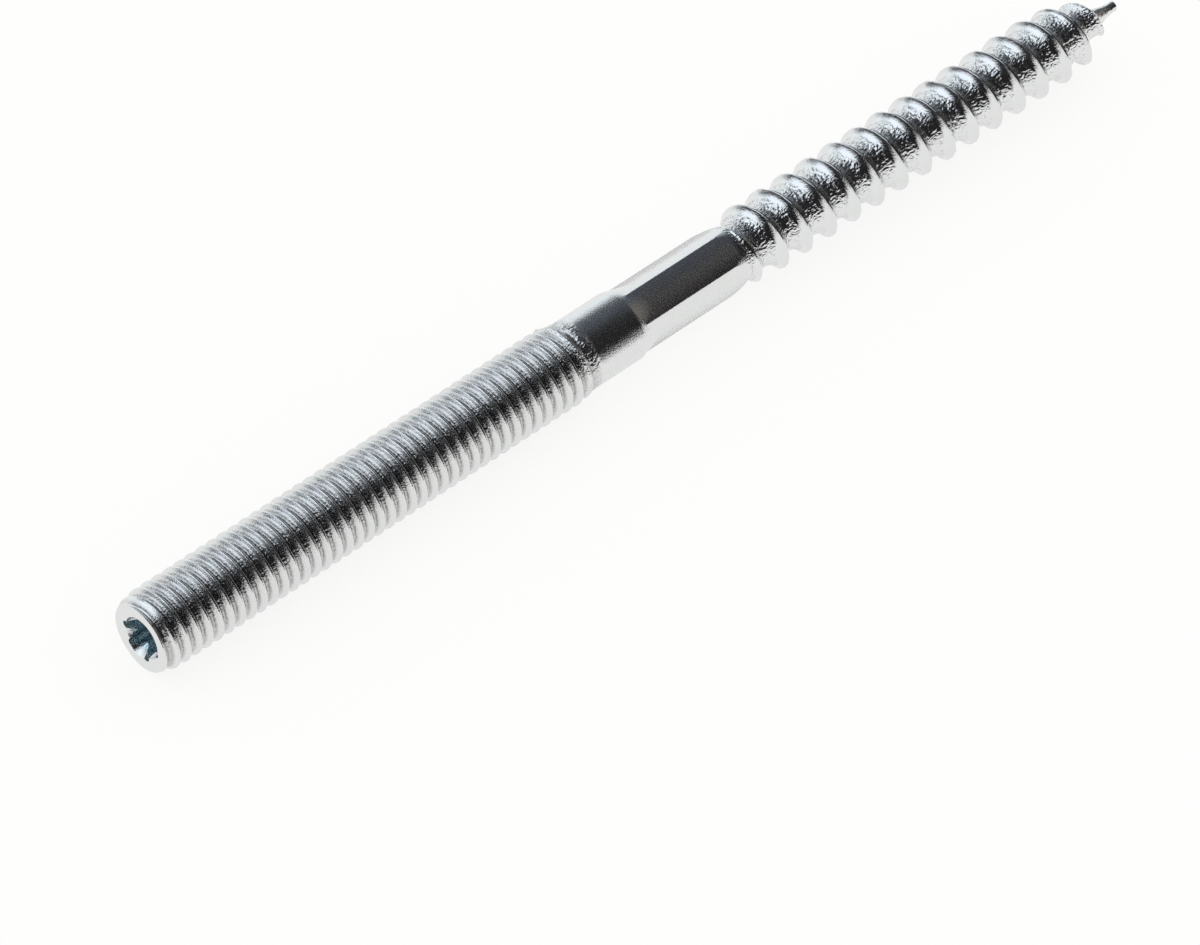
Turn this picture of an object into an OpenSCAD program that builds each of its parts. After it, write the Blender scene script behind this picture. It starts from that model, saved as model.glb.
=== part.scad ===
// Hanger bolt: a metric machine thread with a six-lobe drive in its end, a plain
// shank, a hexagon for a spanner, and a coarse wood thread that ends in a point.
// It is one forged and rolled piece. The axis is X: the machine end's face is at
// x = 0 and the point is at the +X end. The bolt lies as it rests, with +Z up.

/* [Machine thread] */
// Crest diameter of the machine thread
thread_d = 7.75; // [7.4:0.05:9]
// Axial distance from crest to crest of the machine thread
thread_pitch = 1.25; // [1:0.05:1.75]
// Depth from crest to root of the machine thread
thread_depth = 0.68; // [0.3:0.02:0.8]
// Length of the machine thread, from the end face to the end of its run-out
thread_len = 51.4; // [20:0.1:80]
// Share of each pitch that the crest takes
thread_crest_share = 0.26; // [0.1:0.02:0.4]
// Share of each pitch that the root takes
thread_root_share = 0.2; // [0.1:0.02:0.4]
// Diameter of the flat end face
end_face_d = 6.7; // [5.6:0.1:7]
// Length of the taper that leads from the end face up to the crests
lead_len = 1.3; // [0.6:0.1:3]

/* [Six-lobe drive] */
// Size of the recess across opposite lobes
drive_lobe_d = 4.65; // [3.6:0.05:4.8]
// Size of the recess across opposite ribs
drive_rib_d = 3.3; // [2.6:0.05:3.4]
// Radius of each lobe's rounded end
drive_lobe_r = 0.4; // [0.3:0.02:0.5]
// Depth of the recess, down to the start of its pointed floor
drive_depth = 2.9; // [1.5:0.1:5]
// Depth of the pointed floor
drive_floor = 0.7; // [0.3:0.1:1.2]
// Turn of the recess about the axis, in degrees
drive_turn = 12; // [0:1:59]

/* [Shank] */
// Diameter of the plain shank
shank_d = 7.0; // [6.8:0.02:7.3]
// Length of the plain shank
shank_len = 5.4; // [2:0.1:30]
// Length over which the shoulder tapers from the shank to the hexagon's flats
shoulder_len = 2.3; // [1.5:0.1:6]

/* [Hexagon] */
// Size of the hexagon across its flats
hex_af = 5.7; // [5.6:0.02:5.9]
// Length from the end of the shank to where the hexagon's corners start to taper
hex_len = 11.3; // [8:0.1:30]
// Length over which the hexagon tapers down to the wood thread's core
hex_end_len = 3.1; // [1.5:0.1:5]
// Turn of the hexagon about the axis, in degrees
hex_turn = 28.5; // [0:0.5:59.5]

/* [Wood thread] */
// Crest diameter of the wood thread
wood_d = 7.34; // [6.4:0.02:7.6]
// Core diameter of the wood thread
wood_core_d = 5.44; // [4.8:0.02:5.56]
// Axial distance from crest to crest of the wood thread
wood_pitch = 3.06; // [2.4:0.02:4]
// Length of the wood thread's straight core, up to the start of its pointed end
wood_len = 41.3; // [15:0.1:80]
// Length of the hexagon's taper that the wood thread winds over
wood_lap = 1.5; // [0.5:0.05:1.8]
// Width of the thread's crest
wood_crest_w = 0.14; // [0.1:0.02:0.6]
// Width of the thread where it meets the core
wood_base_w = 1.05; // [0.8:0.05:2]

/* [Point] */
// Length of the cone that the core ends in
cone_len = 6.2; // [3:0.1:12]
// Length from where the crests start to taper, to the tip
crest_taper_len = 6.6; // [4:0.1:12]
// Diameter of the small nib that is left at the tip
nib_d = 0.96; // [0.6:0.02:1.6]
// Length of the nib
nib_len = 1.9; // [0.5:0.1:3]

/* [Fineness] */
// Straight sides that make up one turn of either thread
sides = 20; // [12:4:24]
// Side of the turn on which the machine thread starts
machine_start = 19; // [0:1:23]
// Side of the turn on which the wood thread starts
wood_start = 1; // [0:1:23]

/* [Hidden] */
// Turns over which each thread grows from nothing, or fades out again
thread_fade_turns = 1.5;
wood_grow_turns = 0.7;
wood_fade_turns = 0.2;
// Each threaded bar ends a little inside the piece that it joins, and is slimmer
// there by this step, so that the two meet on a flat ring
seat_step = 0.04;
seat_depth = 0.4;
// Straight parts of each lobe's and each rib's arc in the recess
arc_parts = 4;
// Turn that lays a flat side of each thread on the ground
flat_down = 180 / sides;
// Colour of bright zinc plating
zinc = [0.76, 0.79, 0.82];

// Where each section starts along the axis
shank_x = thread_len;
shoulder_x = shank_x + shank_len;
hex_end_x = shoulder_x + hex_len;
wood_x = hex_end_x + hex_end_len;
cone_x = wood_x + wood_len;
nib_x = cone_x + cone_len;
tip_x = nib_x + nib_len;

function clamp01(v) = min(1, max(0, v));
function mix(a, b, share) = a + (b - a) * share;
function on_ring(x, r, angle) = [x, r * cos(angle), r * sin(angle)];

// A round bar whose surface winds in a right-hand helix, closed by two flat rings.
// The helix starts on the side of the turn that start names. profile lists one pitch's
// points as [share of the pitch, height from 0 to 1], and radius(x, height, turn) gives
// a point's distance from the axis.
module threaded_bar(start_x, end_x, helix_x, start, pitch, turns, profile, radius) {
    steps = floor(turns * sides);
    row = len(profile);
    ring_base = (steps + 1) * row + sides;

    function angle(j) = flat_down + 360 * (start + j) / sides;
    function helix_point(j, k) =
        let (x = helix_x + pitch * (j / sides + profile[k][0]))
        on_ring(x, radius(x, profile[k][1], j / sides), angle(j));
    // Rows 0 to steps hold the whole profile; one turn more holds its first point
    function at(j, k) = j <= steps ? j * row + k : (steps + 1) * row + j - steps - 1;
    // The point after the profile's last is the first one of the next turn
    function along(j, k) = k < row ? at(j, k) : at(j + sides, 0);
    function start_ring(i) = ring_base + i % sides;
    function end_ring(i) = ring_base + sides + i % sides;
    function last_turn(i) = i == 0 ? along(steps, row) : at(steps + i, 0);

    points = [
        for (j = [0:steps], k = [0:row - 1]) helix_point(j, k),
        for (j = [steps + 1:steps + sides]) helix_point(j, 0),
        for (i = [0:sides - 1]) on_ring(start_x, radius(start_x, 0, 0), angle(i)),
        for (i = [0:sides - 1])
            on_ring(end_x, radius(end_x, 0, turns + 1), angle(steps + i))
    ];
    faces = [
        for (j = [0:steps - 1], k = [0:row - 1]) each [
            [along(j, k), along(j, k + 1), along(j + 1, k + 1)],
            [along(j, k), along(j + 1, k + 1), along(j + 1, k)]
        ],
        // From the first ring to the helix's first turn
        for (i = [0:sides - 1]) each [
            [start_ring(i), at(i, 0), at((i + 1) % sides, 0)],
            [start_ring(i), at((i + 1) % sides, 0), start_ring(i + 1)]
        ],
        for (k = [0:row - 1]) [at(sides - 1, 0), along(0, k + 1), along(0, k)],
        // From the helix's last turn to the last ring
        for (i = [0:sides - 1]) each [
            [last_turn(i), end_ring(i), end_ring(i + 1)],
            [last_turn(i), end_ring(i + 1), at(steps + i + 1, 0)]
        ],
        for (k = [0:row - 1]) [along(steps, k), along(steps, k + 1), at(steps + 1, 0)],
        [for (i = [0:sides - 1]) start_ring(i)],
        [for (i = [sides - 1:-1:0]) end_ring(i)]
    ];
    polyhedron(points, faces);
}

// The machine thread: its crests rise along a taper behind the end face, and its
// last turns fade into the shank.
module machine_thread() {
    turns = thread_len / thread_pitch - 1;
    flank = (1 - thread_crest_share - thread_root_share) / 2;
    profile = [
        [0, 0],
        [thread_root_share, 0],
        [thread_root_share + flank, 1],
        [1 - flank, 1]
    ];
    root_r = thread_d / 2 - thread_depth;
    seat_r = shank_d / 2 - seat_step;
    lead_r = function(x) mix(end_face_d, thread_d, x / lead_len) / 2;
    radius = function(x, height, turn)
        let (full = clamp01((turns - turn) / thread_fade_turns))
        min(lead_r(x), mix(seat_r, root_r + thread_depth * height, full));
    threaded_bar(0, thread_len + seat_depth, 0, machine_start, thread_pitch, turns,
        profile, radius);
}

// Outline of the recess: six rounded lobes with a rounded rib between each two, where
// every arc meets the next one on the line through their centres.
module six_lobe_outline() {
    lobe_at = drive_lobe_d / 2 - drive_lobe_r;
    gap = drive_rib_d / 2 - drive_lobe_r;
    rib_at = (pow(lobe_at, 2) - pow(gap, 2)) / (2 * (lobe_at * cos(30) - gap));
    rib_r = rib_at - drive_rib_d / 2;
    // Half of each lobe's arc, and half of each rib's
    lobe_half = 180 - atan2(rib_at * sin(30), lobe_at - rib_at * cos(30));
    rib_half = lobe_half - 30;
    function arc(centre, r, middle, half, turn) = [
        for (i = [0:arc_parts - 1])
            let (a = middle + turn * mix(-half, half, (i + 0.5) / arc_parts))
            centre + r * [cos(a), sin(a)]
    ];
    polygon([
        for (i = [0:5]) each concat(
            arc(lobe_at * [cos(60 * i), sin(60 * i)], drive_lobe_r, 60 * i, lobe_half, 1),
            arc(rib_at * [cos(60 * i + 30), sin(60 * i + 30)], rib_r,
                60 * i + 210, rib_half, -1)
        )
    ]);
}

// The recess that a six-lobe bit drives, with a pointed floor.
module drive_recess() {
    rotate([drive_turn, 0, 0])
    rotate([90, 0, 90]) {
        translate([0, 0, -seat_depth])
            linear_extrude(drive_depth + seat_depth) six_lobe_outline();
        translate([0, 0, drive_depth - seat_step])
            cylinder(h = drive_floor, d1 = drive_rib_d - seat_step, d2 = 0, $fn = 48);
    }
}

// A length of round bar along the axis.
module round_bar(x, length, d) {
    translate([x, 0, 0]) rotate([0, 90, 0]) cylinder(h = length, d = d, $fn = 96);
}

// A length of tapering bar along the axis.
module taper(x, length, d1, d2) {
    translate([x, 0, 0])
        rotate([90, 0, 90])
        linear_extrude(length, scale = d2 / d1) circle(d = d1, $fn = 72);
}

// The plain shank and the shoulder that tapers down over the hexagon's flats.
module shank() {
    // The taper runs on inside the hexagon, past where it meets the flats
    run_on = 1.2;
    shoulder_end_d = mix(shank_d, hex_af, run_on);
    round_bar(shank_x, shank_len, shank_d);
    taper(shoulder_x, shoulder_len * run_on, shank_d, shoulder_end_d);
}

// The hexagon, whose corners and then flats taper down to the wood thread's core.
module hexagon() {
    hex_ac = hex_af / cos(30);
    wood_seat_d = wood_core_d + 2 * seat_step;
    intersection() {
        translate([shoulder_x, 0, 0])
            rotate([hex_turn, 0, 0]) rotate([90, 0, 90])
            linear_extrude(hex_len + hex_end_len) circle(d = hex_ac, $fn = 6);
        union() {
            round_bar(shoulder_x, hex_len, hex_ac + seat_step);
            taper(hex_end_x, hex_end_len, hex_ac + seat_step, wood_seat_d);
        }
    }
}

// The wood thread. Its bar starts inside the hexagon and ends as the small nib that
// the rolling leaves at the tip. The ridge grows out of the hexagon's tapered end.
module wood_thread() {
    helix_x = wood_x - wood_lap;
    turns = (tip_x - seat_step - helix_x) / wood_pitch - 1;
    crest = wood_crest_w / wood_pitch;
    flank = (wood_base_w - wood_crest_w) / 2 / wood_pitch;
    profile = [
        [0, 0],
        [flank, 1],
        [flank + crest, 1],
        [2 * flank + crest, 0]
    ];
    tapered = function(x, d, from_x, length)
        mix(d, nib_d, clamp01((x - from_x) / length)) / 2;
    core_r = function(x) tapered(x, wood_core_d, cone_x, cone_len);
    crest_r = function(x) tapered(x, wood_d, tip_x - crest_taper_len, crest_taper_len);
    radius = function(x, height, turn)
        let (grown = clamp01(turn / wood_grow_turns))
        let (left = clamp01((turns - turn) / wood_fade_turns))
        mix(core_r(x), crest_r(x), height * min(grown, left));
    threaded_bar(hex_end_x - seat_depth, tip_x, helix_x, wood_start, wood_pitch, turns,
        profile, radius);
}

module hanger_bolt() {
    color(zinc) difference() {
        union() {
            machine_thread();
            shank();
            hexagon();
            wood_thread();
        }
        drive_recess();
    }
}

hanger_bolt();
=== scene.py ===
# %% [markdown]
# # A hanger bolt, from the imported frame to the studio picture
#
# The bolt is one piece of steel: a machine thread with a six-lobe recess in its end, a
# plain shank, a hexagon for a spanner, and a coarse wood thread that runs to a point.
# The frame comes first. It holds the exact solid, and everything that is made here
# takes its place from it. The bolt lies along x, with its threaded end at x = 0.

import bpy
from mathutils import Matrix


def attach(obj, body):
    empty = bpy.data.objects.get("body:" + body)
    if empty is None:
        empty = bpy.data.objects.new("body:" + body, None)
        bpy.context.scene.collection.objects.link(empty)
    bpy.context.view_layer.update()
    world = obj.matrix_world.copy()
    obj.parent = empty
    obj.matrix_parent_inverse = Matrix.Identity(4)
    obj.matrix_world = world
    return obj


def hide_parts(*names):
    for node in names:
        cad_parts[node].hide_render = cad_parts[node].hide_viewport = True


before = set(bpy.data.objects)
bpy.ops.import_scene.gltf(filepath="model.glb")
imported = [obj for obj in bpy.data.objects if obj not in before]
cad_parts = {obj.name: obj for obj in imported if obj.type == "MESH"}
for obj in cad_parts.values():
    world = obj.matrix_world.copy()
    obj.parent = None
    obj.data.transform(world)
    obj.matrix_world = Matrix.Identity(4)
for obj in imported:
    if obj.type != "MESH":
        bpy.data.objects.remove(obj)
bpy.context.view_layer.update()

# %% [markdown]
# Blender works in metres, and a bolt is measured in millimetres. All sizes below are in
# millimetres, and MM turns them into metres where a mesh is made.

# %% The unit
import math

import bpy
import numpy as np
from mathutils import Vector, noise

MM = 0.001

# %% [markdown]
# Every step works on one piece alone. Operators act on all that is selected, so the
# first helper deselects everything and picks one piece.

# %% Picking one piece
def only(piece):
    """Make piece the one selected and active object."""
    if bpy.context.object and bpy.context.object.mode != "OBJECT":
        bpy.ops.object.mode_set(mode="OBJECT")
    bpy.ops.object.select_all(action="DESELECT")
    piece.hide_set(False)
    piece.select_set(True)
    bpy.context.view_layer.objects.active = piece


def edit(piece):
    """Open one piece in edit mode, with all of it selected."""
    only(piece)
    bpy.ops.object.mode_set(mode="EDIT")
    bpy.ops.mesh.select_mode(type="VERT")
    bpy.ops.mesh.select_all(action="SELECT")


def leave_edit():
    bpy.ops.object.mode_set(mode="OBJECT")


# %% [markdown]
# A thread starts as the outline of one pitch. The outline is drawn as by hand: a small
# plane is merged to one corner, and the corner is extruded from point to point.

# %% Drawing a line
def at_angle(x, radius, angle):
    """A point at x along the axis, at radius from it, in millimetres."""
    a = math.radians(angle)
    return Vector((x, radius * math.cos(a), radius * math.sin(a))) * MM


def draw_line(name, points):
    """A line of edges through the points."""
    bpy.ops.object.select_all(action="DESELECT")
    bpy.ops.mesh.primitive_plane_add(size=MM, location=(0, 0, 0))
    line = bpy.context.object
    line.name = name
    edit(line)
    bpy.ops.mesh.merge(type="CENTER")
    bpy.ops.transform.translate(value=points[0])
    for here, there in zip(points, points[1:]):
        bpy.ops.mesh.extrude_region_move(TRANSFORM_OT_translate={"value": there - here})
    leave_edit()
    return line


# %% [markdown]
# A real edge is never quite sharp. A bevel on the finished thread would have to follow a
# helix of many short edges, so the corners are rounded while the outline is still flat.

# %% Rounding the corners of an outline
def rounded(corners, radii, parts):
    """The corners of a line, with all but its two ends rounded to arcs."""
    out = [Vector(corners[0])]
    for before, corner, after, radius in zip(corners, corners[1:], corners[2:], radii):
        before, corner, after = Vector(before), Vector(corner), Vector(after)
        a, b = (before - corner).normalized(), (after - corner).normalized()
        half = a.angle(b) / 2
        reach = radius / math.tan(half)
        centre = corner + (a + b).normalized() * radius / math.sin(half)
        start, end = corner + a * reach - centre, corner + b * reach - centre
        sweep = start.angle(end)
        for i in range(parts + 1):
            t = i / parts
            out.append(centre + (start * math.sin((1 - t) * sweep)
                       + end * math.sin(t * sweep)) / math.sin(sweep))
    out.append(Vector(corners[-1]))
    return out


# %% [markdown]
# A rolled thread has no flat floor: the metal flows into one hollow between two crests.
# So one pitch is an arc for the valley, which runs into the flanks without a corner, and
# a narrow crest with rounded edges. The arc's radius follows from the other sizes.

# %% One pitch of a thread
def ridge(pitch, low, high, crest, steep, rounding, parts, lean=0):
    """One pitch of a thread's outline, from valley to valley, as (x, radius).

    The valley is one arc, tangent to two flanks that lean steep degrees. lean moves its
    lowest line towards the near end, which makes the flank before the crest the longer."""
    half = pitch / 2
    a = math.radians(steep)
    arc_r = ((pitch - crest) / 2 - (high - low) / math.tan(a)) / (
        math.sin(a) - (1 - math.cos(a)) / math.tan(a))
    arc = [(arc_r * math.sin(a * k / parts), low + arc_r * (1 - math.cos(a * k / parts)))
           for k in range(parts + 1)]
    top = rounded([arc[-1], ((pitch - crest) / 2, high), ((pitch + crest) / 2, high),
                   (pitch - arc[-1][0], arc[-1][1])], [rounding, rounding], 2)
    print("Valley arc: radius %.2f mm" % arc_r)
    points = arc[:-1] + top + [(pitch - x, r) for x, r in reversed(arc[:-1])]
    return [(half + (x - half) * (1 + (lean if x < half else -lean) / half), r)
            for x, r in points]


# %% [markdown]
# The Screw modifier winds the outline about the bolt's axis, one pitch further for each
# turn, which is just what a rolling die does. A positive pitch makes a right-hand thread.
# Neighbouring turns share their edge points, so these are merged, and the faces are then
# turned outwards.

# %% Winding a thread
def wind(line, pitch, turns, sides):
    """Wind a drawn outline about the x axis."""
    only(line)
    screw = line.modifiers.new("wind", "SCREW")
    screw.axis = "X"
    screw.screw_offset = pitch * MM
    screw.iterations = turns
    screw.steps = screw.render_steps = sides
    bpy.ops.object.modifier_apply(modifier="wind")
    edit(line)
    bpy.ops.mesh.remove_doubles(threshold=0.0005 * MM)
    bpy.ops.mesh.normals_make_consistent(inside=False)
    leave_edit()


# %% [markdown]
# A wound thread ends in a ragged spiral. Bisect cuts it flat across the axis. The loop of
# edges that the cut leaves is picked by its place and filled with one face, so that the
# mesh is closed and its flat end can be drawn out later.

# %% Cutting an end flat
def cut_flat(piece, x, keep):
    """Cut a piece flat across the axis at x, closing the cut. keep is +1 or -1."""
    edit(piece)
    bpy.ops.mesh.bisect(plane_co=(x * MM, 0, 0), plane_no=(keep, 0, 0), use_fill=False,
                        clear_inner=True, threshold=1e-7)
    bpy.ops.mesh.select_all(action="DESELECT")
    leave_edit()
    for edge in piece.data.edges:
        a, b = (piece.data.vertices[i].co.x for i in edge.vertices)
        edge.select = max(abs(a - x * MM), abs(b - x * MM)) < 1e-7
    bpy.ops.object.mode_set(mode="EDIT")
    bpy.ops.mesh.select_mode(type="EDGE")
    bpy.ops.mesh.edge_face_add()
    bpy.ops.mesh.select_all(action="SELECT")
    bpy.ops.mesh.normals_make_consistent(inside=False)
    leave_edit()


# %% [markdown]
# Threads fade in and out, taper and wear. All of that is a change of radius along the
# bolt, so the finished helix is turned down: each point moves in or out to a radius that
# a rule gives. Cutting with a boolean would do it too, but leaves thin slivers.

# %% Turning a piece down
def turn_down(piece, radius_at):
    """Move every point of a piece in or out, to radius_at(x, radius, angle)."""
    count = len(piece.data.vertices)
    co = np.zeros(count * 3)
    piece.data.vertices.foreach_get("co", co)
    co = co.reshape(-1, 3) / MM
    radius = np.hypot(co[:, 1], co[:, 2])
    angle = np.arctan2(co[:, 2], co[:, 1])
    scale = radius_at(co[:, 0], radius, angle) / np.maximum(radius, 1e-6)
    co[:, 1] *= scale
    co[:, 2] *= scale
    piece.data.vertices.foreach_set("co", (co * MM).ravel())
    piece.data.update()


# %% [markdown]
# A bolt is mostly round bar of changing thickness. Its flat end is extruded from ring to
# ring, and each new ring is scaled about the axis. That keeps one closed skin, where
# separate cylinders would have to be joined.

# %% Drawing an end out
def draw_out(piece, x, stations):
    """Extrude the flat end at x through rings of (x, share of the first radius)."""
    edit(piece)
    bpy.ops.mesh.select_all(action="DESELECT")
    bpy.ops.mesh.select_mode(type="FACE")
    leave_edit()
    for face in piece.data.polygons:
        face.select = abs(face.center.x - x * MM) < 1e-5 and len(face.vertices) > 8
    bpy.ops.object.mode_set(mode="EDIT")
    last = 1
    for to_x, share in stations:
        bpy.ops.mesh.extrude_region_move(
            TRANSFORM_OT_translate={"value": ((to_x - x) * MM, 0, 0)})
        bpy.ops.transform.resize(value=(1, share / last, share / last),
                                 center_override=(to_x * MM, 0, 0))
        x, last = to_x, share
    leave_edit()


# %% [markdown]
# The machine thread is an M8 coarse one, which takes a nut. It has a pitch of 1.25 mm and
# is rolled a little under 8 mm. Its outline has rounded crests and hollow roots, as
# rollers leave them, and is wound some turns past both ends, to be cut off flat.

# %% The machine thread
THREAD_PITCH, THREAD_DEPTH, THREAD_R = 1.25, 0.68, 3.875
THREAD_CREST, THREAD_STEEP, THREAD_ROUNDING = 0.16, 57, 0.09
THREAD_PARTS, THREAD_SIDES, THREAD_TURNS = 7, 64, 44
THREAD_START = 351                # angle of the outline's plane, in degrees
THREAD_FIRST_X = -2.475           # where the first valley crosses it
thread_outline = ridge(THREAD_PITCH, THREAD_R - THREAD_DEPTH, THREAD_R, THREAD_CREST,
                       THREAD_STEEP, THREAD_ROUNDING, THREAD_PARTS)
thread = draw_line("machine_thread", [
    at_angle(THREAD_FIRST_X + x, r, THREAD_START) for x, r in thread_outline])
wind(thread, THREAD_PITCH, THREAD_TURNS, THREAD_SIDES)
print("Machine thread:", len(thread.data.polygons), "faces")

# %% [markdown]
# Two rules help with the ends: one fades a value out smoothly, the other gives a smooth
# unevenness. The unevenness is noise read at the point's own place, so it is the same
# each time and has no seam around the bolt.

# %% Fading and unevenness
def fade(x, start, end):
    """1 before start, 0 after end, and smooth between."""
    t = np.clip((end - x) / (end - start), 0, 1)
    return t * t * (3 - 2 * t)


def uneven(x, radius, angle, size, seed):
    """Smooth values of about -1 to 1, one for each point, that change over size."""
    y, z = radius * np.cos(angle), radius * np.sin(angle)
    return np.array([noise.noise(Vector((a + seed, b, c)) / size) * 2
                     for a, b, c in zip(x, y, z)])


# %% [markdown]
# The bar is chamfered before it is rolled, so the first turns stand lower towards the end
# face. At the other end the rollers lift off: the grooves grow shallow within two turns,
# and the metal is torn a little there. The crests are worn all along.

# %% The machine thread's two ends
THREAD_END, SHANK_R = 51.4, 3.5
END_FACE_R, LEAD = 3.4, 1.6
RUN_OUT = 2.3
WEAR, WEAR_SIZE, WEAR_BAND = 0.014, 0.7, 0.2
TEAR, TEAR_SIZE = 0.06, 0.42


def machine_radius(x, radius, angle):
    lead = END_FACE_R + (THREAD_R - END_FACE_R) * x / LEAD
    full = fade(x, THREAD_END - RUN_OUT, THREAD_END - 0.1)
    worn = uneven(x, radius, angle, WEAR_SIZE, 10) * WEAR * (radius > THREAD_R - WEAR_BAND)
    torn = (uneven(x, radius, angle, TEAR_SIZE, 40) * TEAR
            * fade(x, THREAD_END - 0.6, THREAD_END - 0.05)
            * (1 - fade(x, THREAD_END - 3.2, THREAD_END - 1.6)))
    return np.minimum(lead, SHANK_R + (radius - SHANK_R) * full + worn + torn)


cut_flat(thread, 0, 1)
cut_flat(thread, THREAD_END, -1)
turn_down(thread, machine_radius)
print("Cut and turned:", len(thread.data.polygons), "faces")

# %% [markdown]
# The shank is the bar as it was before rolling, a little thinner than the thread's crests.
# The thread's last face is drawn out into it, over a soft edge, and on into the shoulder
# that dips below the hexagon's flats. Extruding from the thread keeps it one closed mesh.

# %% The plain shank and the shoulder
SHOULDER_X, SHOULDER_END_X, SHOULDER_END_R = 57.05, 59.6, 2.8
SOFT_EDGE = ((-0.25, 1), (-0.08, 0.996), (0.08, 0.985), (0.25, 0.97))
draw_out(thread, THREAD_END, [(SHOULDER_X + dx, share) for dx, share in SOFT_EDGE]
         + [(SHOULDER_END_X, SHOULDER_END_R / SHANK_R)])
print("With its shank:", len(thread.data.polygons), "faces")

# %% [markdown]
# Three more pieces start as a straight bar along the axis, so that is a helper. The bar's
# place and turn are written into its mesh at once, because a finished piece has to sit at
# the origin, unturned and unscaled.

# %% A straight bar
def settle(piece):
    """Write a piece's place, turn and scale into its mesh."""
    only(piece)
    bpy.ops.object.transform_apply()


def bar(name, sides, radius, start, end):
    """A straight bar along the axis, from start to end."""
    bpy.ops.object.select_all(action="DESELECT")
    bpy.ops.mesh.primitive_cylinder_add(
        vertices=sides, radius=radius * MM, depth=(end - start) * MM,
        location=((start + end) / 2 * MM, 0, 0), rotation=(0, math.pi / 2, 0))
    made = bpy.context.object
    made.name = name
    settle(made)
    return made


# %% [markdown]
# A spanner holds the bolt at its hexagon. It is pressed from the same bar, so its flats
# and its corners lie below the shank's surface. A six-sided bar is turned to the right
# angle by one of its corners, and its long edges are bevelled.

# %% The hexagon
HEX_AF, HEX_TURN, HEX_SIDES = 5.7, 28.5, 6
HEX_END_X, WOOD_X = 68.1, 71.2    # where its far end starts to be round, and where it ends
HEX_EDGE, HEX_OVERLAP = 0.06, 0.1
hex_r = HEX_AF / 2 / math.cos(math.pi / HEX_SIDES)
hexagon = bar("hexagon", HEX_SIDES, hex_r, SHOULDER_X, WOOD_X + HEX_OVERLAP)
first_corner = hexagon.data.vertices[0].co
now = math.degrees(math.atan2(first_corner.z, first_corner.y))
hexagon.rotation_euler = (math.radians(HEX_TURN - now), 0, 0)
settle(hexagon)
edit(hexagon)
bpy.ops.mesh.select_all(action="DESELECT")
leave_edit()
for edge in hexagon.data.edges:
    a, b = (hexagon.data.vertices[i].co for i in edge.vertices)
    edge.select = abs(a.x - b.x) > MM
bpy.ops.object.mode_set(mode="EDIT")
bpy.ops.mesh.select_mode(type="EDGE")
bpy.ops.mesh.bevel(offset=HEX_EDGE * MM, segments=3)
leave_edit()
print("Hexagon: %.2f mm over its corners" % (2 * hex_r))

# %% [markdown]
# Its ends are round where they meet the rest: the corners fade out and leave pointed
# facets. The same shape comes from a solid of revolution that crosses the bar. A round
# blank is drawn out ring by ring, and where both are solid the metal stays.

# %% The blank that rounds its ends
BLANK_SIDES, BLANK_R, BLANK_X = 96, 3.45, 54
BLANK_LINE = ((HEX_END_X + 0.01, 3.31), (69.2, 3.17), (70.2, 2.98), (WOOD_X, 2.74),
              (WOOD_X + 1, 2.5))
blank = bar("blank", BLANK_SIDES, BLANK_R, BLANK_X, HEX_END_X)
draw_out(blank, HEX_END_X, [(x, r / BLANK_R) for x, r in BLANK_LINE])


def cut_with(piece, tool, operation):
    """Join, cut or trim a piece with a tool, which is then removed."""
    only(piece)
    boolean = piece.modifiers.new("cut", "BOOLEAN")
    boolean.operation = operation
    boolean.object = tool
    boolean.solver = "MANIFOLD"
    bpy.ops.object.modifier_apply(modifier="cut")
    bpy.data.objects.remove(tool)
    print(piece.name, operation, len(piece.data.polygons), "faces")


cut_with(hexagon, blank, "INTERSECT")

# %% [markdown]
# The wood thread cuts its own way into timber, so it is coarse and sharp, with a wide
# hollow valley. The flank towards the near end is the longer one, and stands steep just
# below the crest. It is wound like the machine thread.

# %% The wood thread
WOOD_PITCH, WOOD_R, CORE_R = 3.06, 3.67, 2.64
WOOD_CREST, WOOD_STEEP, WOOD_ROUNDING, WOOD_LEAN = 0.16, 69, 0.05, 0.38
WOOD_PARTS, WOOD_SIDES, WOOD_TURNS = 9, 72, 20
WOOD_START = 27                   # angle of the outline's plane, in degrees
WOOD_CREST_X = 70.185             # where the first crest that is kept crosses it
TURNS_BEFORE = 2
wood_outline = ridge(WOOD_PITCH, CORE_R, WOOD_R, WOOD_CREST, WOOD_STEEP, WOOD_ROUNDING,
                     WOOD_PARTS, lean=WOOD_LEAN)
wood_first_x = WOOD_CREST_X - (TURNS_BEFORE + 0.5) * WOOD_PITCH
wood = draw_line("wood_thread", [
    at_angle(wood_first_x + x, r, WOOD_START) for x, r in wood_outline])
wind(wood, WOOD_PITCH, WOOD_TURNS, WOOD_SIDES)
print("Wood thread:", len(wood.data.polygons), "faces")

# %% [markdown]
# The crest grows out of the core over less than a turn, keeps its height, and runs down a
# cone at the end. So two lines, of the core and of the crest, are written down along the
# bolt, and each point keeps its share of the height between them. Both are a little
# uneven, as the thread is rolled hard and deep.

# %% The wood thread's run-in and its cone
NIB_X, NIB_R, CONE_X = 118.3, 0.8, 112.5
GROW_X, GROW = 70.2, 2.2
CORE_LINE = ((60, GROW_X, 72.5, CONE_X, NIB_X), (2.74, 2.74, CORE_R, CORE_R, NIB_R))
CREST_LINE = ((60, 111.4, 112.8, 114.8, 116.2, 117.7, NIB_X),
              (WOOD_R, WOOD_R, 3.42, 3.3, 2.52, 1.72, 0.9))
CREST_WEAR, CREST_WEAR_SIZE = 0.03, 0.8
CORE_WEAR, CORE_WEAR_SIZE = 0.02, 0.5
WOOD_CUT_X = 68.0                 # inside the hexagon, which covers it
NIB_START_X = NIB_X - 0.1


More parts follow.
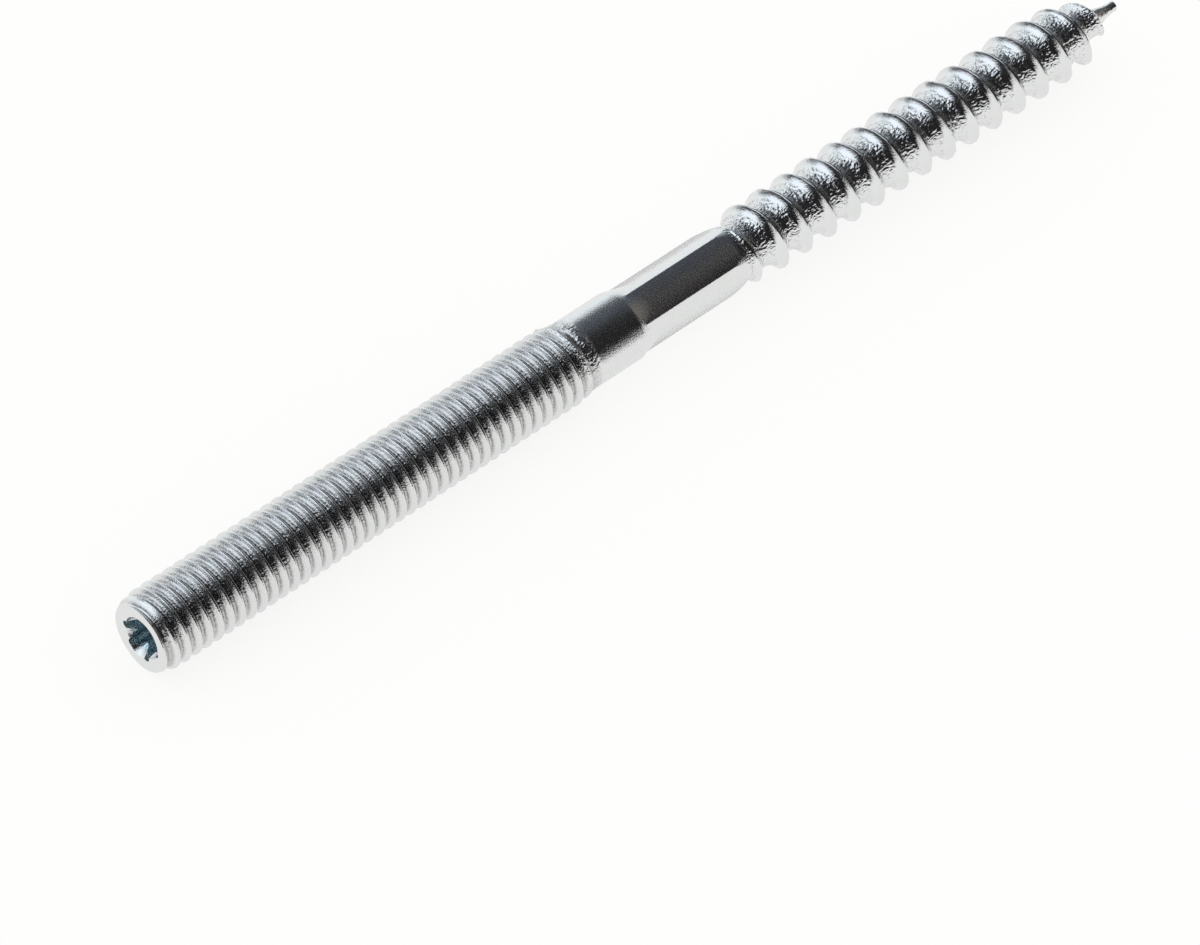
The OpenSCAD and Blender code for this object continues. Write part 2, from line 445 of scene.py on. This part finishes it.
def wood_radius(x, radius, angle):
    height = (radius - CORE_R) / (WOOD_R - CORE_R)
    core = np.interp(x, *CORE_LINE)
    crest = (np.interp(x, *CREST_LINE)
             + CREST_WEAR * uneven(x, radius, angle, CREST_WEAR_SIZE, 70))
    grown = np.clip((x - GROW_X) / GROW, 0, 1)
    wear = CORE_WEAR * uneven(x, radius, angle, CORE_WEAR_SIZE, 90) * (x < NIB_X - 0.6)
    return core + np.maximum(crest - core, 0) * height * grown + wear


cut_flat(wood, WOOD_CUT_X, 1)
cut_flat(wood, NIB_START_X, -1)
turn_down(wood, wood_radius)
print("Cut and turned:", len(wood.data.polygons), "faces")

# %% [markdown]
# The rollers squeeze a small nib out of the point, where the bolt breaks off the bar. It
# is the cone's flat end, drawn out and blunt at its tip.

# %% The nib
TIP_X = 120.6
NIB_LINE = ((NIB_X + 0.4, 0.72), (119.1, 0.6), (119.6, 0.53), (TIP_X - 0.05, 0.48),
            (TIP_X, 0.44))
nib_start_r = NIB_R + (CORE_R - NIB_R) * 0.1 / (NIB_X - CONE_X)
draw_out(wood, NIB_START_X, [(x, r / nib_start_r) for x, r in NIB_LINE])
print("Length: %.1f mm" % TIP_X)

# %% [markdown]
# A six-lobe driver turns the bolt. The recess is punched: six round lobes with round ribs
# between them, tangent to each other, and a cone at the bottom from the punch's tip. The
# arcs are worked out from the diameters over the lobes and between the ribs. Their points
# become one face, which is drawn out into a plug and cut away later.

# %% The recess
LOBE_D, RIB_D, LOBE_R = 4.65, 3.3, 0.4
DRIVE_DEPTH, DRIVE_TURN, DRIVE_TIP, TIP_SHARE = 2.9, 12, 0.6, 0.1
LOBES, ARC_PARTS, PLUG_X = 6, 8, -0.5
step = 360 / LOBES
half_step = math.pi / LOBES
lobe_at = LOBE_D / 2 - LOBE_R
gap = RIB_D / 2 - LOBE_R
rib_at = (lobe_at ** 2 - gap ** 2) / (2 * (lobe_at * math.cos(half_step) - gap))
rib_r = rib_at - RIB_D / 2
lobe_half = 180 - math.degrees(math.atan2(
    rib_at * math.sin(half_step), lobe_at - rib_at * math.cos(half_step)))
rib_half = lobe_half - step / 2


def arc_points(centre_at, radius, middle, outward, half):
    """Points of one arc of the recess. outward is 1 for a lobe and -1 for a rib."""
    m = math.radians(middle + DRIVE_TURN)
    points = []
    for k in range(ARC_PARTS):
        turned = outward * (-half + 2 * half * (k + 0.5) / ARC_PARTS)
        a = m + math.radians(turned) + (0 if outward > 0 else math.pi)
        points.append(Vector((PLUG_X, centre_at * math.cos(m) + radius * math.cos(a),
                              centre_at * math.sin(m) + radius * math.sin(a))) * MM)
    return points


recess_outline = []
for i in range(LOBES):
    recess_outline += arc_points(lobe_at, LOBE_R, step * i, 1, lobe_half)
    recess_outline += arc_points(rib_at, rib_r, step * (i + 0.5), -1, rib_half)
recess = draw_line("recess", recess_outline)
edit(recess)
bpy.ops.mesh.edge_face_add()
leave_edit()
draw_out(recess, PLUG_X, [(DRIVE_DEPTH, 1), (DRIVE_DEPTH + DRIVE_TIP, TIP_SHARE)])
edit(recess)
bpy.ops.mesh.normals_make_consistent(inside=False)
leave_edit()
print("Rib radius: %.2f mm" % rib_r)

# %% [markdown]
# The punch went in a little off the axis and dragged the face with it. One rib has a
# dent, and the ribs on the other side are flared away at the mouth. Each of the two is a
# shallow cone, drawn out from a short bar that starts above the face.

# %% The worn edges of the recess
OFF_CENTRE = at_angle(0, 0.17, 165)
CONE_SIDES, CONE_RISE = 72, 0.5


def worn_edge(name, radius, floor_radius, depth, place):
    """A shallow cone to sink into the end face, about a line through place."""
    made = bar(name, CONE_SIDES, radius, -CONE_RISE, 0)
    draw_out(made, 0, [(depth, floor_radius / radius),
                       (depth + 0.5, floor_radius * 0.6 / radius)])
    made.location = place
    settle(made)
    return made


recess.location = OFF_CENTRE
settle(recess)
dent = worn_edge("dent", 1.25, 0.85, 0.6, OFF_CENTRE + at_angle(0, 1.15, 288))
flare = worn_edge("flare", 2.1, 1.85, 0.5, OFF_CENTRE + at_angle(0, 0.3, 120))
print("Worn edges:", dent.name, flare.name)

# %% [markdown]
# The thread carries the shank, so the hexagon and the wood thread join it, and the recess
# and its worn edges are cut out. The pieces overlap well where they join, because coplanar
# faces would trouble the solver. The threads shade smooth, and sharper edges stay sharp.

# %% One solid bolt
SHARP_ANGLE = 32
bolt = thread
for tool, operation in ((hexagon, "UNION"), (wood, "UNION"), (recess, "DIFFERENCE"),
                        (dent, "DIFFERENCE"), (flare, "DIFFERENCE")):
    cut_with(bolt, tool, operation)
bolt.name = "bolt"
only(bolt)
bpy.ops.object.shade_smooth_by_angle(angle=math.radians(SHARP_ANGLE))
bolt.data.calc_loop_triangles()
print("Bolt:", len(bolt.data.loop_triangles), "triangles")

# %% [markdown]
# A finish is a tree of nodes. A few short helpers add one node each, so that the finish
# below reads as a list of what it does.

# %% Helpers for shader nodes
def node(tree, kind, inputs=None, **values):
    """Add a node, set its options, and give its inputs a value or a link."""
    made = tree.nodes.new(kind)
    for key, value in values.items():
        setattr(made, key, value)
    for key, value in (inputs or {}).items():
        if isinstance(value, bpy.types.NodeSocket):
            tree.links.new(value, made.inputs[key])
        else:
            made.inputs[key].default_value = value
    return made


def math_node(tree, operation, first, *others):
    """One value from several, such as their product, by one node for each step."""
    for other in others:
        made = node(tree, "ShaderNodeMath", {0: first, 1: other}, operation=operation)
        first = made.outputs[0]
    return first


def ramp(tree, value, low, high, to_low=0.0, to_high=1.0):
    """to_low below low, to_high above high, and smooth between."""
    return node(tree, "ShaderNodeMapRange", {
        "Value": value, "From Min": low, "From Max": high, "To Min": to_low,
        "To Max": to_high}, interpolation_type="SMOOTHSTEP").outputs["Result"]


def mix_colour(tree, share, a, b):
    made = node(tree, "ShaderNodeMix", {0: share, 6: a, 7: b}, data_type="RGBA")
    return made.outputs[2]


# %% [markdown]
# Bright zinc plating is a metal, so it has no colour but that of what it mirrors. It is
# not alike all over: the roots of the threads and the torn run-out each have their own
# grain, and the recess gets a painted reflection. Painting them by hand would need an
# unwrapped bolt. Instead each point is measured, along the axis and across it, in
# millimetres of the object itself.

# %% Where each kind of surface lies
zinc = bpy.data.materials.new("bright_zinc")
zinc.use_nodes = True
tree = zinc.node_tree
metal = tree.nodes["Principled BSDF"]
place = node(tree, "ShaderNodeMapping", {
    "Vector": node(tree, "ShaderNodeTexCoord").outputs["Object"],
    "Scale": (1 / MM, 1 / MM, 1 / MM)}).outputs[0]
at = node(tree, "ShaderNodeSeparateXYZ", {0: place})
along = at.outputs["X"]
y_squared = math_node(tree, "MULTIPLY", at.outputs["Y"], at.outputs["Y"])
z_squared = math_node(tree, "MULTIPLY", at.outputs["Z"], at.outputs["Z"])
across = math_node(tree, "POWER", math_node(tree, "ADD", y_squared, z_squared), 0.5)

on_machine = math_node(tree, "MULTIPLY", ramp(tree, along, 0.3, 0.8),
                       ramp(tree, along, THREAD_END - 0.2, THREAD_END + 0.2, 1, 0))
on_wood = math_node(tree, "MULTIPLY", ramp(tree, along, GROW_X - 0.4, GROW_X + 0.4),
                    ramp(tree, along, NIB_X - 1.3, NIB_X, 1, 0.3))
machine_root = math_node(tree, "MULTIPLY", on_machine, ramp(tree, across, 3.35, 3.6, 1, 0))
wood_root = math_node(tree, "MULTIPLY", on_wood, ramp(tree, across, 2.85, 3.15, 1, 0))
torn_end = math_node(tree, "MULTIPLY", ramp(tree, along, THREAD_END - 2.9, THREAD_END - 1.2),
                     ramp(tree, along, THREAD_END - 0.2, THREAD_END + 0.4, 0.45, 0))
# Where the recess is painted bluish, as a painted reflection of blue light.
recess_reflection_mask = math_node(tree, "MULTIPLY", ramp(tree, along, 2.8, 3.0, 1, 0),
                      ramp(tree, across, LOBE_D / 2, LOBE_D / 2 + 0.12, 1, 0),
                      ramp(tree, along, 0.4, 0.75))
print("Places:", len(tree.nodes), "nodes")

# %% [markdown]
# The crests took the rollers' polish. The roots are rougher, as nothing rubs them, and
# the torn run-out is the roughest. A fine grain lies on all of it and a coarse one only
# where the steel is rough, so the two are added as heights and bumped once.

# %% The grain of the zinc
FINE_HEIGHT, BUMP_DISTANCE = 0.08, 0.28 * MM
MACHINE_GRAIN, WOOD_GRAIN = 0.3, 0.52


def grain(scale, detail, roughness=0.5, stretch=(1, 1, 1)):
    """Noise of about 1/scale mm, drawn out by stretch."""
    vector = node(tree, "ShaderNodeMapping", {"Vector": place, "Scale": stretch}).outputs[0]
    return node(tree, "ShaderNodeTexNoise", {
        "Vector": vector, "Scale": scale, "Detail": detail,
        "Roughness": roughness}).outputs["Fac"]


coarse = grain(3.4, 1.5, 0.4, (0.8, 1.2, 1.2))
rough_here = math_node(tree, "MAXIMUM",
                       math_node(tree, "MULTIPLY", machine_root, MACHINE_GRAIN),
                       math_node(tree, "MULTIPLY", wood_root, WOOD_GRAIN), torn_end)
height = math_node(tree, "ADD", math_node(tree, "MULTIPLY", grain(7.5, 2), FINE_HEIGHT),
                   math_node(tree, "MULTIPLY", coarse, rough_here))
bump = node(tree, "ShaderNodeBump", {
    "Strength": 1.0, "Distance": BUMP_DISTANCE, "Height": height})
tree.links.new(bump.outputs[0], metal.inputs["Normal"])
print("With its grain:", len(tree.nodes), "nodes")

# %% [markdown]
# The plating mirrors the room softly, and more clearly on the wood thread. Its colour
# drifts between two close greys. In the machine thread's roots it is painted darker, as
# painted shade, and deep in the recess it is painted bluish, as a painted reflection.

# %% The sheen and the colour of the zinc
SHEEN, SPECK, WOOD_POLISH = 0.18, 0.14, 0.45
COOL_GREY, WARM_GREY = (0.765, 0.79, 0.775, 1), (0.78, 0.78, 0.785, 1)
ROOT_SHADE_GREY, PAINTED_RECESS_BLUE = (0.50, 0.495, 0.49, 1), (0.57, 0.73, 0.80, 1)
speck = math_node(tree, "MULTIPLY", ramp(tree, grain(9, 1), 0.35, 0.72), SPECK)
dull = math_node(tree, "ADD", speck, SHEEN)
unpolished = math_node(tree, "SUBTRACT", 1.0,
                       math_node(tree, "MULTIPLY", on_wood, WOOD_POLISH))
tree.links.new(math_node(tree, "MULTIPLY", dull, unpolished), metal.inputs["Roughness"])
metal.inputs["Metallic"].default_value = 1

drift = ramp(tree, grain(1.3, 2), 0.35, 0.65)
# Painted shade: the machine thread's roots are painted darker, patchy by a noise.
worn = math_node(tree, "MULTIPLY", machine_root, ramp(tree, grain(4, 2), 0.35, 0.6, 0.6, 1))
colour = mix_colour(tree, drift, COOL_GREY, WARM_GREY)
colour = mix_colour(tree, worn, colour, ROOT_SHADE_GREY)
# Painted reflection: deep in the recess the colour is painted bluish.
colour = mix_colour(tree, recess_reflection_mask, colour, PAINTED_RECESS_BLUE)
tree.links.new(colour, metal.inputs["Base Color"])
print("Zinc finish:", len(tree.nodes), "nodes")

# %% [markdown]
# The bolt takes its finish, and then its place in the frame: it stands in for the one
# node of the solid, rides on the one body, and fills the slot of its material.

# %% The bolt takes its place
bolt.data.materials.clear()
bolt.data.materials.append(zinc)
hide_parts("hanger_bolt")
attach(bolt, "root")
print("Bolt's size, in metres:", tuple(round(d, 4) for d in bolt.dimensions))

# %% [markdown]
# The bolt lies on a sheet of white card, at the height of its lowest point. The sheet has
# edges, and two of them lie close by, so that the room shows past them in the lower side
# of the metal. As the camera and mirrors see it, the card is mostly its own white, and
# the rest takes the bolt's shadow.

# %% The floor
SHEET_SIZE, SHEET_NEAR_X, SHEET_NEAR_Y = 2, -0.1, -0.115     # in metres
CARD_COLOUR, CARD_WHITE, OWN_WHITE = (0.97, 0.955, 0.945, 1), (1, 0.998, 0.994, 1), 0.86
floor_z = min(v.co.z for v in bolt.data.vertices)
bpy.ops.object.select_all(action="DESELECT")
bpy.ops.mesh.primitive_plane_add(size=SHEET_SIZE, location=(
    SHEET_NEAR_X + SHEET_SIZE / 2, SHEET_NEAR_Y + SHEET_SIZE / 2, floor_z))
floor = bpy.context.object
floor.name = "floor"

card = bpy.data.materials.new("white_card")
card.use_nodes = True
tree = card.node_tree
tree.nodes.clear()
diffuse = node(tree, "ShaderNodeBsdfDiffuse", {"Color": CARD_COLOUR})
white = node(tree, "ShaderNodeEmission", {"Color": CARD_WHITE, "Strength": 1.0})
path = node(tree, "ShaderNodeLightPath")
shown = math_node(tree, "MAXIMUM", path.outputs["Is Camera Ray"],
                  path.outputs["Is Glossy Ray"], path.outputs["Is Transmission Ray"])
mixed = node(tree, "ShaderNodeMixShader", {
    0: math_node(tree, "MULTIPLY", shown, OWN_WHITE), 1: diffuse.outputs[0],
    2: white.outputs[0]})
node(tree, "ShaderNodeOutputMaterial", {"Surface": mixed.outputs[0]})
floor.data.materials.append(card)
print("Floor at %.2f mm" % (floor_z / MM))

# %% [markdown]
# Polished metal shows its room, so the room is the light, and it is painted by direction
# on the world. One helper says how nearly a direction points to a place in the room, and
# another makes a soft round patch of it.

# %% Directions in the room
world = bpy.data.worlds.new("studio")
bpy.context.scene.world = world
world.use_nodes = True
world.cycles.sampling_method = "NONE"
tree = world.node_tree
tree.nodes.clear()
direction = node(tree, "ShaderNodeTexCoord").outputs["Generated"]
up = node(tree, "ShaderNodeSeparateXYZ", {0: direction}).outputs["Z"]


def facing(azimuth, elevation):
    """Cosine of the angle between the direction seen and one given in degrees."""
    a, e = math.radians(azimuth), math.radians(elevation)
    return node(tree, "ShaderNodeVectorMath", {0: direction, 1: (
        math.cos(e) * math.cos(a), math.cos(e) * math.sin(a), math.sin(e))},
        operation="DOT_PRODUCT").outputs["Value"]


def within(azimuth, elevation, outer, inner):
    """1 within inner degrees of a direction, 0 beyond outer."""
    return ramp(tree, facing(azimuth, elevation),
                math.cos(math.radians(outer)), math.cos(math.radians(inner)))


# %% [markdown]
# A dark surround gives the dark band along the middle of the bolt, and a bluish haze
# greys the stretch above that band. A dim corner shows in what slopes to the far end, such
# as the shoulder. A pale backdrop lights the upper edge, one soft window lies in the
# threads' valleys, and white below carries on the card. Each is laid over those before it.

# %% The room
DARK, HAZE_GREY = (0.020, 0.019, 0.020, 1), (0.085, 0.095, 0.115, 1)
CORNER_GREY, BACKDROP_WHITE = (0.20, 0.185, 0.17, 1), (1.0, 1.06, 1.1, 1)
WINDOW_WHITE, WHITE = (1.1, 1.18, 1.28, 1), (1, 1, 1, 1)
haze = ramp(tree, facing(60, 0), -0.1, 0.7)
corner = ramp(tree, facing(-8, 17), 0.90, 0.975)
backdrop = math_node(tree, "MULTIPLY", ramp(tree, up, 0.36, 0.56, 1, 0),
                     ramp(tree, facing(80, 0), 0.6, 0.85))
window = within(141, 54, 43, 27)
below = ramp(tree, up, -0.3, -0.15, 1, 0)
mirrored = mix_colour(tree, haze, DARK, HAZE_GREY)
for patch, patch_colour in ((corner, CORNER_GREY), (backdrop, BACKDROP_WHITE),
                            (window, WINDOW_WHITE), (below, WHITE)):
    mirrored = mix_colour(tree, patch, mirrored, patch_colour)
print("Room:", len(tree.nodes), "nodes")

# %% [markdown]
# Only mirrors see that room. To all else it is plain white, at the level where a colour
# looks as it is written, which keeps the background white without more light on the bolt.

# %% The light
path = node(tree, "ShaderNodeLightPath")
light = mix_colour(tree, path.outputs["Is Glossy Ray"], WHITE, mirrored)
background = node(tree, "ShaderNodeBackground", {"Color": light, "Strength": 1.0})
node(tree, "ShaderNodeOutputWorld", {"Surface": background.outputs[0]})
print("Light:", world.name)

# %% [markdown]
# The camera looks down along the bolt from its threaded end. It has a long lens, so the
# far end is only a little smaller than the near one. Its place and its lens are given by
# a fit to the bolt's ends and edges.

# %% The camera
CAMERA_AT = (-280.22, -358.67, 476.16)
CAMERA_EL, CAMERA_AZ = 45.149, 46.979
SENSOR_WIDTH, FOCAL_PX, PICTURE_WIDTH_PX = 36, 7600, 1200
camera = bpy.data.objects.new("camera", bpy.data.cameras.new("camera"))
bpy.context.scene.collection.objects.link(camera)
camera.location = Vector(CAMERA_AT) * MM
camera.rotation_euler = (math.radians(90 - CAMERA_EL), 0, math.radians(CAMERA_AZ - 90))
camera.data.sensor_width = SENSOR_WIDTH
camera.data.lens = FOCAL_PX * SENSOR_WIDTH / PICTURE_WIDTH_PX
camera.data.clip_start = 0.01
camera.data.clip_end = 20
bpy.context.scene.camera = camera
bpy.context.scene.view_settings.view_transform = "Standard"
print("Lens: %.0f mm" % camera.data.lens)
